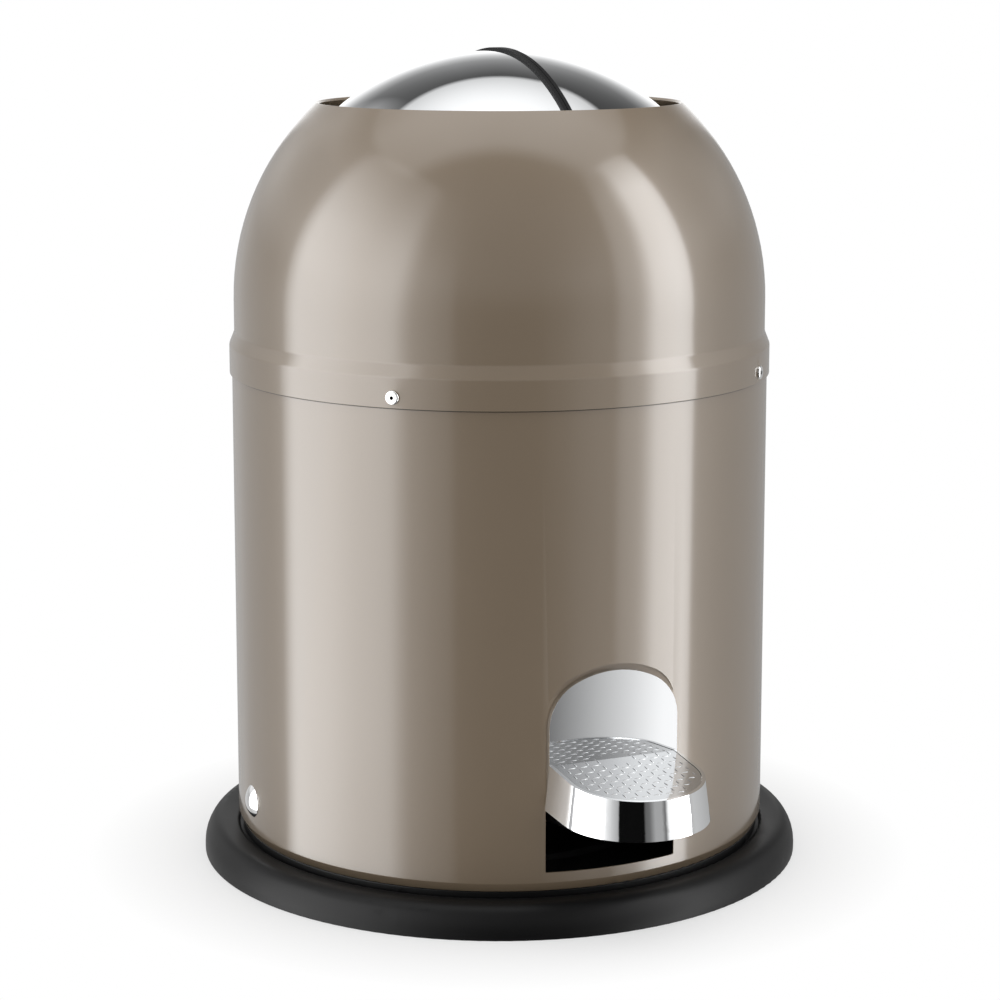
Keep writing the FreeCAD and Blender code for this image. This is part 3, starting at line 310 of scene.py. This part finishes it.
height = room.add("ShaderNodeSeparateXYZ", None, {0: way}, output="Z")
facing = along(to_camera)
aside = along(to_right)
height_share = height * 0.5 + 0.5
facing_share = facing * 0.5 + 0.5
aside_share = aside * 0.5 + 0.5
angle = facing.maths("ARCTAN2", aside, facing)
wall_greys = [
    (-180, 0.35), (-150, 0.65), (-127, 0.6), (-113, 0.5), (-95, 0.7), (-45, 0.7), (-37, 0.5),
    (-20, 0.42), (-19, 0.004), (19, 0.004), (20, 0.13), (26, 0.17), (34, 0.42), (44, 0.42),
    (48.5, 0.17), (56, 0.2), (86, 0.5), (100, 0.6), (130, 0.5), (180, 0.35)]
walls = room.ramp(angle * (0.5 / math.pi) + 0.5,
                  [(0.5 + degrees / 360, grey) for degrees, grey in wall_greys])
wall_fade = room.ramp(height_share, [(0.47, 1.0), (0.62, 0.8), (0.69, 0.35), (0.75, 0.12)])
print("walls:", len(wall_greys), "greys by angle")

# %% [markdown]
# Behind the bin hangs a bright backdrop that darkens upwards and to the sides, with a foot that
# is lowest in the middle. Overhead is a white ceiling, and the corners beside the bin are pale
# high up. The polished lid shows the backdrop and the ceiling, and the pedal shows the walls.

# %% Backdrop, ceiling and corners
foot_drop = 0.22
foot_rise = 1.1
off_centre = aside.maths("ABSOLUTE", aside, 0.0)
above_foot = height + foot_drop - off_centre * foot_rise
behind = (room.ramp(above_foot, [(0.0, 0.0), (0.05, 1.0)])
          * room.ramp(off_centre, [(0.12, 1.0), (0.42, 0.25)])
          * room.ramp(facing_share, [(0.30, 1.0), (0.45, 0.0)]))
backdrop = room.ramp(height_share, [
    (0.465, 0.0), (0.475, 1.0), (0.58, 1.0), (0.64, 0.75), (0.70, 0.45), (0.74, 0.30),
    (0.80, 0.17), (0.87, 0.05)])
overhead = room.ramp(height_share, [(0.875, 0.0), (0.89, 0.65), (0.97, 1.1)])
not_front = room.ramp(facing_share, [(0.36, 1.0), (0.44, 1.5), (0.64, 1.5), (0.70, 0.05)])
corners = room.ramp(aside_share, [(0.2, 0.8), (0.325, 0.0), (0.75, 0.0), (0.875, 0.55)])
upper = room.ramp(height_share, [(0.55, 0.0), (0.65, 0.7), (0.80, 1.1), (0.90, 0.3)])
not_ahead = room.ramp(facing_share, [(0.45, 1.0), (0.65, 0.0)])
beyond_camera = (room.ramp(height_share, [(0.5, 0.0), (0.6, 0.3)])
                 * room.ramp(facing, [(0.4, 0.0), (0.7, 1.0)]))
seen = (walls * wall_fade + behind * backdrop + overhead * not_front
        + upper * corners * not_ahead + beyond_camera)
print("nodes for reflections:", len(room.tree.nodes))

# %% [markdown]
# A ray knows what it is for. The camera's own rays see pure white, a reflection sees the studio,
# and all other light is one even grey, which lights the paint from all round.

# %% What each ray sees
fill_level = 0.62
camera_ray = room.add("ShaderNodeLightPath", output="Is Camera Ray")
glossy_ray = camera_ray.other("Is Glossy Ray")
fill_light = room.mix(glossy_ray, (fill_level, fill_level, fill_level), seen)
shown = room.mix(camera_ray, fill_light, (1, 1, 1))
background = room.add("ShaderNodeBackground", None, {"Color": shown, "Strength": 1.0})
room.add("ShaderNodeOutputWorld", None, {"Surface": background})
bpy.context.scene.view_settings.view_transform = "Standard"
print("world nodes:", len(room.tree.nodes))

# %% [markdown]
# The floor is a small round table, wide enough for the shadow, that fades into the white towards
# its rim. It is left out of reflections, so that the bands of the softboxes on the paint run
# down to the ring, as in the photograph.

# %% Floor
floor_radius = 0.22
floor_steps = 96
floor_grey = 0.86
fade_reach = 0.2
floor_turns = [2 * math.pi * step / floor_steps for step in range(floor_steps)]
rim = [(math.cos(turn) * floor_radius, math.sin(turn) * floor_radius, 0) for turn in floor_turns]
floor_mesh = bpy.data.meshes.new("studio_floor")
floor_mesh.from_pydata(rim, [], [list(range(floor_steps))])
studio_floor = bpy.data.objects.new("studio_floor", floor_mesh)
bpy.context.scene.collection.objects.link(studio_floor)
table = new_finish("pale_table")
table_ray = table.add("ShaderNodeLightPath", output="Is Camera Ray")
lit = table.add("ShaderNodeBsdfDiffuse", None, {"Color": (floor_grey, floor_grey, floor_grey, 1)})
glow = table.add("ShaderNodeEmission", None, {"Color": (1, 1, 1, 1), "Strength": 1.0})
from_axis = table.add(
    "ShaderNodeVectorMath", {"operation": "LENGTH"}, {0: table.place()}, output="Value")
fade = table.ramp(from_axis * (1 / fade_reach), [(0.68, 0.55), (0.98, 1.0)])
blend = table.add("ShaderNodeMixShader", None, {0: table_ray * fade, 1: lit, 2: glow})
table.add("ShaderNodeOutputMaterial", None, {"Surface": blend})
floor_mesh.materials.append(table.owner)
studio_floor.visible_glossy = False
print("floor:", floor_steps, "corners")

# %% [markdown]
# The body and the dome are sprayed with a warm grey paint that holds fine pearl, under a clear
# coat. The pearl flakes are a very fine noise in the colour, the uneven film of the spray is a
# broad noise in the gloss, and the coat carries the bands of the softboxes, with the faint
# orange peel of sprayed paint in its bump. Just under the dome's skirt the body gets a thin dark
# line of painted shade without coat, which stands in for the shadow of the skirt's edge.

# %% Pearl paint
taupe = (0.242, 0.181, 0.119)
seam_painted_shade = (0.012, 0.009, 0.007)
pearl_contrast = 0.12
seam_lap = 0.5 * mm
seam_width = 2.0 * mm
peel_depth = 12 * micron
skirt_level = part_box("dome_shell")[0][2]


def pearl_paint(name, colour, seam=None):
    """Sprayed paint; seam is a level just under which a painted line of shade darkens it."""
    paint = new_finish(name)
    flakes = paint.noise(5200.0, detail=1.0)
    clouds = paint.noise(14.0, detail=3.0)
    light = toned(colour, 1 + pearl_contrast)
    dark = toned(colour, 1 - pearl_contrast)
    shade = paint.mix(flakes * 0.7 + clouds * 0.3, dark, light)
    coat = 1.0
    if seam is not None:
        spot = paint.add("ShaderNodeSeparateXYZ", None, {0: paint.place()}, output="Z")
        # Painted shade: a thin dark band without coat, just under the seam, stands in for the
        # skirt's shadow.
        line = paint.ramp((seam + seam_lap - spot) * (1 / seam_width),
                          [(0.0, 0.0), (0.2, 1.0), (0.42, 1.0), (0.55, 0.0)])
        shade = paint.mix(line, shade, seam_painted_shade)
        coat = 1 - line
    peel = paint.noise(420.0, detail=2.0)
    paint.surface(Base_Color=shade, Metallic=0.0, Roughness=clouds * 0.06 + 0.40,
                  Specular_IOR_Level=0.5, Coat_Weight=coat, Coat_Roughness=0.12,
                  Coat_IOR=1.6, Normal=paint.bump(peel, peel_depth))


pearl_paint("body_paint", taupe, skirt_level)
pearl_paint("dome_paint", taupe)
print("the dark line lies under", round(skirt_level / mm, 1), "mm")

# %% [markdown]
# Chrome is a bare metal mirror. Polishing leaves the faintest haze and hairlines, so its
# roughness drifts a little and a stretched noise scratches the bump, by less than a micron on
# chrome and by two on the tread's rolled sheet.


# %% Chrome
def polished(name, tint, rough, haze=0.02, hairlines=0.4 * micron):
    """Bright metal with a little haze and fine scratches."""
    metal = new_finish(name)
    drift = metal.noise(35.0, detail=3.0)
    lines = metal.noise(900.0, detail=2.0, where=metal.stretched(1.0, 0.06, 1.0))
    shade = metal.mix(drift, toned(tint, 0.97), tint)
    metal.surface(Base_Color=shade, Metallic=1.0, Roughness=drift * haze + rough,
                  Normal=metal.bump(lines, hairlines))


polished("lid_chrome", (0.86, 0.87, 0.88), 0.03)
polished("pedal_chrome", (0.86, 0.87, 0.88), 0.03)
polished("cap_chrome", (0.90, 0.90, 0.90), 0.06)
polished("rivet_steel", (0.90, 0.90, 0.89), 0.12)
polished("tread_sheet", (0.62, 0.63, 0.64), 0.06, haze=0.04, hairlines=2 * micron)
print("finishes so far:", ", ".join(finishes))

# %% [markdown]
# Hidden parts are pressed from zinc plated sheet. Zinc is a soft grey metal whose crystals show
# as faint patches, made here by a Voronoi pattern in colour and roughness.


# %% Plated steel
def plated(name, tint, rough, crystal, spread=0.10):
    """Zinc plated steel; the larger crystal is, the smaller its patches are."""
    metal = new_finish(name)
    cells = metal.add("ShaderNodeTexVoronoi", None,
                      {"Vector": metal.place(), "Scale": crystal}, output="Color")
    patch = metal.add("ShaderNodeSeparateColor", None, {0: cells})
    grain = metal.noise(1600.0, detail=2.0)
    shade = metal.mix(patch, toned(tint, 0.86), tint)
    metal.surface(Base_Color=shade, Metallic=1.0, Roughness=patch * spread + rough,
                  Normal=metal.bump(grain, 4 * micron))


plated("pressed_steel", (0.56, 0.56, 0.55), 0.34, 420.0)
plated("bucket_steel", (0.50, 0.51, 0.51), 0.36, 130.0, spread=0.16)
plated("screw_steel", (0.60, 0.60, 0.57), 0.30, 900.0)
plated("axle_steel", (0.60, 0.60, 0.59), 0.22, 1200.0, spread=0.05)
plated("spring_steel", (0.42, 0.42, 0.42), 0.30, 1500.0, spread=0.05)
print("finishes so far:", len(finishes))

# %% [markdown]
# Moulded plastic takes the texture of its mould: a fine grain that breaks up its sheen. The
# same few nodes serve the ring, the floor, the grip, the bushes and the rubber strips, each with
# its own colour, grain size and gloss.


# %% Moulded plastic and rubber
def moulded(name, colour, rough, grain, depth, lift=1.35, shine=0.5):
    """Grained plastic; lift is how much lighter than the colour its specks get."""
    plastic = new_finish(name)
    speck = plastic.noise(grain, detail=3.0, rough=0.6)
    drift = plastic.noise(22.0, detail=2.0)
    shade = plastic.mix(speck * 0.5 + drift * 0.5, toned(colour, 0.8), toned(colour, lift))
    plastic.surface(Base_Color=shade, Roughness=drift * 0.10 + rough, Specular_IOR_Level=shine,
                    Normal=plastic.bump(speck, depth))


moulded("ring_plastic", (0.0045, 0.0045, 0.0048), 0.40, 2600.0, 20 * micron, shine=0.2)
moulded("floor_plastic", (0.045, 0.045, 0.047), 0.55, 1800.0, 30 * micron)
moulded("carrier_plastic", (0.028, 0.028, 0.028), 0.50, 1800.0, 20 * micron)
moulded("grip_plastic", (0.03, 0.03, 0.03), 0.5, 1500.0, 40 * micron)
moulded("bush_plastic", (0.62, 0.61, 0.56), 0.4, 1500.0, 10 * micron, lift=1.1)
moulded("seal_rubber", (0.005, 0.005, 0.0055), 0.50, 3200.0, 20 * micron, shine=0.2)
# The plate paint is near black as painted shade: it stands in for the dark inside of the bin seen
# through the pedal's slot.
moulded("plate_paint", (0.02, 0.02, 0.02), 0.45, 900.0, 20 * micron)
print("finishes so far:", len(finishes))

# %% [markdown]
# The CAD record names a slot for every piece, such as body_paint or lid_chrome. The finishes
# above carry the same names, so one loop can dress all the CAD nodes.

# %% Finishes on the CAD nodes
slot_of = {part["node"]: part["material_slot"] for part in frame["record"]["subparts"]}
for name, node in nodes.items():
    node.data.materials.clear()
    node.data.materials.append(finishes[slot_of[name]])
print("dressed", len(nodes), "nodes from", len(set(slot_of.values())), "slots")

# %% [markdown]
# Shading and repeats are made with Geometry Nodes. The class below builds such a tree from
# calls, with named inputs, so that one tree can serve many objects with other values.


# %% Geometry Nodes helper
class Recipe:
    """A Geometry Nodes tree with named inputs."""

    def __init__(self, name, sizes):
        self.tree = bpy.data.node_groups.new(name, "GeometryNodeTree")
        face = self.tree.interface
        face.new_socket("Geometry", in_out="INPUT", socket_type="NodeSocketGeometry")
        face.new_socket("Geometry", in_out="OUTPUT", socket_type="NodeSocketGeometry")
        for label, (kind, value) in sizes.items():
            socket = face.new_socket(label, in_out="INPUT", socket_type="NodeSocket" + kind)
            socket.default_value = value
        self.inputs = self.tree.nodes.new("NodeGroupInput").outputs
        self.output = self.tree.nodes.new("NodeGroupOutput")

    def add(self, kind, settings=None, inputs=None):
        """New node, of which all outputs are handed back."""
        node = self.tree.nodes.new(kind)
        for name, value in (settings or {}).items():
            setattr(node, name, value)
        for key, value in (inputs or {}).items():
            if isinstance(value, bpy.types.NodeSocket):
                self.tree.links.new(value, node.inputs[key])
            else:
                node.inputs[key].default_value = value
        return node.outputs

    def maths(self, operation, first, second=0.0):
        return self.add("ShaderNodeMath", {"operation": operation}, {0: first, 1: second})[0]

    def finish(self, geometry):
        """Links what the tree hands back."""
        self.tree.links.new(geometry, self.output.inputs[0])

    def put_on(self, obj, values=None):
        """Adds the tree to an object; values are set by each socket's identifier."""
        modifier = obj.modifiers.new(self.tree.name, "NODES")
        modifier.node_group = self.tree
        names = {s.name: s.identifier for s in self.tree.interface.items_tree
                 if s.item_type == "SOCKET" and s.in_out == "INPUT"}
        for label, value in (values or {}).items():
            modifier[names[label]] = value


# %% [markdown]
# CAD meshes come as loose triangles, so a modifier welds them and shades smooth across every
# edge flatter than a named angle. It changes no vertex of the CAD mesh itself.

# %% Smooth shading
smooth = Recipe("smooth_by_angle", {"Weld": ("Float", micron), "Flattest Edge": ("Float", 0.5)})
welded = smooth.add("GeometryNodeMergeByDistance", None,
                    {"Geometry": smooth.inputs["Geometry"], "Distance": smooth.inputs["Weld"]})[0]
bend = smooth.add("GeometryNodeInputMeshEdgeAngle")["Unsigned Angle"]
flat_enough = smooth.add("FunctionNodeCompare", {"data_type": "FLOAT", "operation": "LESS_THAN"},
                         {0: bend, 1: smooth.inputs["Flattest Edge"]})[0]
faces = smooth.add("GeometryNodeSetShadeSmooth", {"domain": "FACE"},
                   {"Geometry": welded, "Shade Smooth": True})[0]
edges = smooth.add("GeometryNodeSetShadeSmooth", {"domain": "EDGE"},
                   {"Geometry": faces, "Shade Smooth": flat_enough})[0]
smooth.finish(edges)
for node in nodes.values():
    smooth.put_on(node)
print("smoothed", len(nodes), "nodes")

# %% [markdown]
# Real edges are never razor sharp: folded sheet and cast metal end in a small rounding that
# catches a thin line of light. A Bevel modifier gives it to the outer pieces, each with the
# width that its process leaves.

# %% Rounded edges
edge_widths = {
    "pedal_shoe": 0.9 * mm, "body_shell": 0.3 * mm, "dome_shell": 0.25 * mm,
    "axle_cap_left": 0.3 * mm, "axle_cap_right": 0.3 * mm, "tread_panel": 0.1 * mm}
edge_segments = 3
sharp_angle = math.radians(35)
for name, width in edge_widths.items():
    rounding = nodes[name].modifiers.new("rounded_edges", "BEVEL")
    rounding.width = width
    rounding.segments = edge_segments
    rounding.limit_method = "ANGLE"
    rounding.angle_limit = sharp_angle
    rounding.harden_normals = True
print("rounded the edges of", len(edge_widths), "nodes")

# %% [markdown]
# The tread's sheet is rolled with short low bars that lie lengthwise and crosswise in turn, like
# a basket weave, so that a shoe grips it from every side. One bar is modelled once and repeated
# on a grid. The tree starts with the sizes of the bars and of the sheet that they stand on.

# %% Sizes of the tread
panel_low, panel_high = [Vector(corner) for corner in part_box("tread_panel")]
tread_slope = math.radians(6)
bars = Recipe("tread_bars", {
    "Column Step": ("Float", 2.85 * mm), "Row Step": ("Float", 3.1 * mm),
    "Bar Length": ("Float", 4.2 * mm), "Bar Width": ("Float", 0.95 * mm),
    "Bar Height": ("Float", 0.6 * mm), "Sunk": ("Float", 0.14 * mm),
    "Half Width": ("Float", (panel_high.x - panel_low.x) / 2),
    "Length": ("Float", (panel_high.y - panel_low.y) / math.cos(tread_slope)),
    "Margin": ("Float", 2.0 * mm), "Field Half Width": ("Float", 8 * mm),
    "Field Length": ("Float", 7 * mm), "Finish": ("Material", None)})
half_width, length = bars.inputs["Half Width"], bars.inputs["Length"]
print("the tread is", round((panel_high.x - panel_low.x) / mm, 1), "mm wide")

# %% [markdown]
# Every other point of the grid is left out, and every other column turns its bar. Points off the
# sheet's rounded outline are dropped, and so are those in the plain field at its back. The front
# end of the barred field is a half circle, so past its centre the distance from there counts.

# %% Points that carry a bar
columns, rows = 21, 17
grid = bars.add("GeometryNodeMeshGrid", None, {
    "Size X": bars.maths("MULTIPLY", bars.inputs["Column Step"], columns - 1),
    "Size Y": bars.maths("MULTIPLY", bars.inputs["Row Step"], rows - 1),
    "Vertices X": columns, "Vertices Y": rows})[0]
where = bars.add("ShaderNodeSeparateXYZ", None, {0: bars.add("GeometryNodeInputPosition")[0]})
across = bars.maths("ABSOLUTE", where[0])
from_back = bars.maths("ADD", where[1], bars.maths("MULTIPLY", length, 0.5))
number = bars.add("GeometryNodeInputIndex")[0]
column = bars.maths("FLOOR", bars.maths("DIVIDE", number, rows))
weave = bars.maths("MODULO", bars.maths("ADD", column, bars.maths("MODULO", number, rows)), 2.0)
past = bars.maths("MAXIMUM", 0.0, bars.maths(
    "SUBTRACT", from_back, bars.maths("SUBTRACT", length, half_width)))
spread = bars.maths("POWER", bars.maths(
    "ADD", bars.maths("POWER", across, 2.0), bars.maths("POWER", past, 2.0)), 0.5)
off_sheet = bars.maths("GREATER_THAN", spread, bars.maths(
    "SUBTRACT", half_width, bars.inputs["Margin"]))
off_back = bars.maths("LESS_THAN", from_back, bars.inputs["Margin"])
in_field = bars.maths(
    "MULTIPLY", bars.maths("LESS_THAN", across, bars.inputs["Field Half Width"]),
    bars.maths("LESS_THAN", from_back, bars.inputs["Field Length"]))
dropped = bars.maths("ADD", bars.maths("ADD", weave, off_back),
                     bars.maths("ADD", off_sheet, in_field))
marked = bars.add("GeometryNodeStoreNamedAttribute", {"data_type": "FLOAT"}, {
    "Geometry": grid, "Name": "turned", "Value": bars.maths("MODULO", column, 2.0)})[0]
kept = bars.add("GeometryNodeDeleteGeometry", None, {
    "Geometry": marked, "Selection": bars.maths("GREATER_THAN", dropped, 0.5)})[0]
print("grid points:", columns * rows)

# %% [markdown]
# A bar is a ball that is stretched to the bar's length, width and height and sunk into the sheet,
# so that only its low rounded back stands out. The copies become one real mesh at the end.

# %% One bar on every point
turned = bars.add("GeometryNodeInputNamedAttribute", None, {"Name": "turned"})[0]
bead = bars.add("GeometryNodeMeshUVSphere", None, {"Segments": 12, "Rings": 8, "Radius": 0.5})[0]
size = bars.add("ShaderNodeCombineXYZ", None, {
    0: bars.inputs["Bar Length"], 1: bars.inputs["Bar Width"], 2: bars.inputs["Bar Height"]})[0]
down = bars.add("ShaderNodeCombineXYZ", None, {
    2: bars.maths("MULTIPLY", bars.inputs["Sunk"], -1.0)})[0]
bar = bars.add("GeometryNodeTransform", None, {
    "Geometry": bead, "Scale": size, "Translation": down})[0]
copies = bars.add("GeometryNodeInstanceOnPoints", None, {
    "Points": kept, "Instance": bar, "Rotation": bars.add("ShaderNodeCombineXYZ", None, {
        2: bars.maths("MULTIPLY", turned, math.pi / 2)})[0]})[0]
solid = bars.add("GeometryNodeRealizeInstances", None, {"Geometry": copies})[0]
soft = bars.add("GeometryNodeSetShadeSmooth", None, {"Geometry": solid})[0]
bars.finish(bars.add("GeometryNodeSetMaterial", None, {
    "Geometry": soft, "Material": bars.inputs["Finish"]})[0])
print("nodes in the bars' tree:", len(bars.tree.nodes))

# %% [markdown]
# The tree runs once on a seed object, and its result becomes a plain mesh that is moved to the
# sloping tread and rides on the pedal.


# %% Bars on the tread
def grown(recipe, name, place, values):
    """Object whose mesh is what the recipe makes, moved to its place."""
    seed = bpy.data.objects.new(name + "_seed", bpy.data.meshes.new(name + "_seed"))
    bpy.context.scene.collection.objects.link(seed)
    recipe.put_on(seed, values)
    ready = seed.evaluated_get(bpy.context.evaluated_depsgraph_get())
    mesh = bpy.data.meshes.new_from_object(ready)
    mesh.transform(place)
    bpy.data.objects.remove(seed)
    piece = bpy.data.objects.new(name, mesh)
    bpy.context.scene.collection.objects.link(piece)
    print(name, len(mesh.polygons), "faces")
    return piece


panel_middle = (panel_low + panel_high) / 2
sheet_lift = (panel_high.z - panel_low.z
              - (panel_high.y - panel_low.y) * math.tan(tread_slope)) / 2
tread_place = (Matrix.Translation(panel_middle) @ Matrix.Rotation(tread_slope, 4, "X")
               @ Matrix.Translation((0, 0, sheet_lift)) @ Matrix.Rotation(math.pi, 4, "Z"))
tread_bars = grown(bars, "tread_bars", tread_place, {"Finish": finishes["tread_sheet"]})
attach(tread_bars, "pedal")
